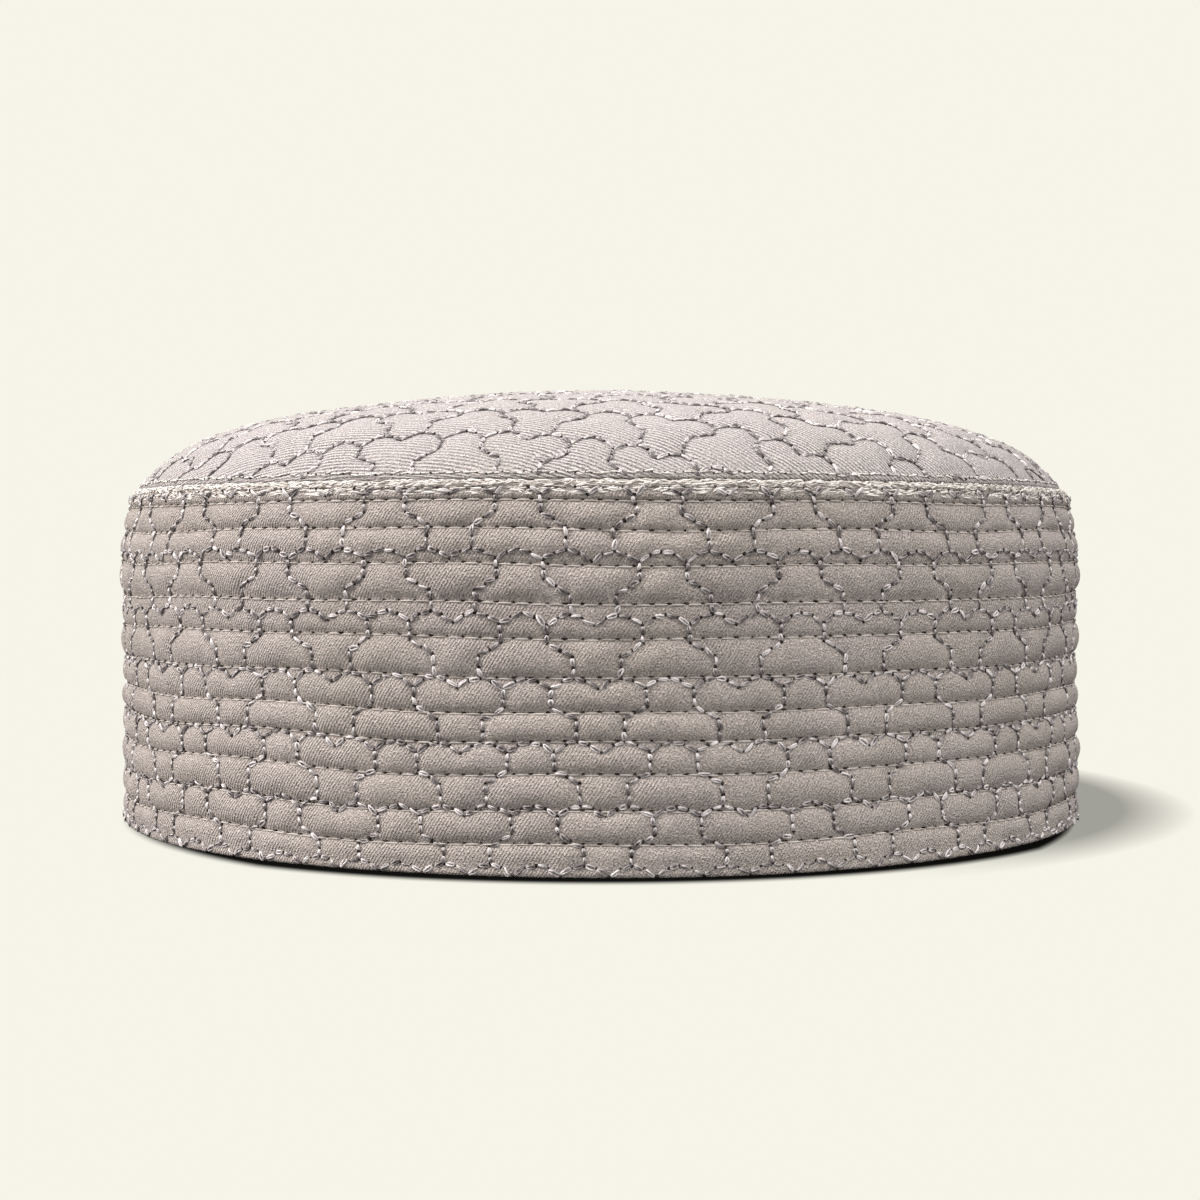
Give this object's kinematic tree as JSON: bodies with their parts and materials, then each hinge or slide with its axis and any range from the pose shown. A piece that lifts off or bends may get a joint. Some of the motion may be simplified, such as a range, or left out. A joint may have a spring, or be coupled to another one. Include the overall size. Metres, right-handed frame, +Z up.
{
  "type": "quilted prayer cap",
  "caption": "Round rigid-sided prayer cap in quilted cotton twill, with a shallow domed crown, a corded seam roll and chain-stitched ornament.",
  "frame": {"origin": "centre of the rim's bottom plane, on the surface that the cap rests on", "axes": "+Z up through the middle of the crown, +Y towards the back of the cap, +X to the wearer's left when the front faces -Y"},
  "size_m": [0.185, 0.185, 0.081],
  "materials": {
    "cotton_twill": "matt warm grey cotton twill, quilted over a thin wadding",
    "embroidery_thread": "satin pale grey rayon thread"
  },
  "bodies": {
    "root": {"side_band": "cotton_twill", "crown": "cotton_twill", "seam_roll": "embroidery_thread"}
  },
  "joints": []
}
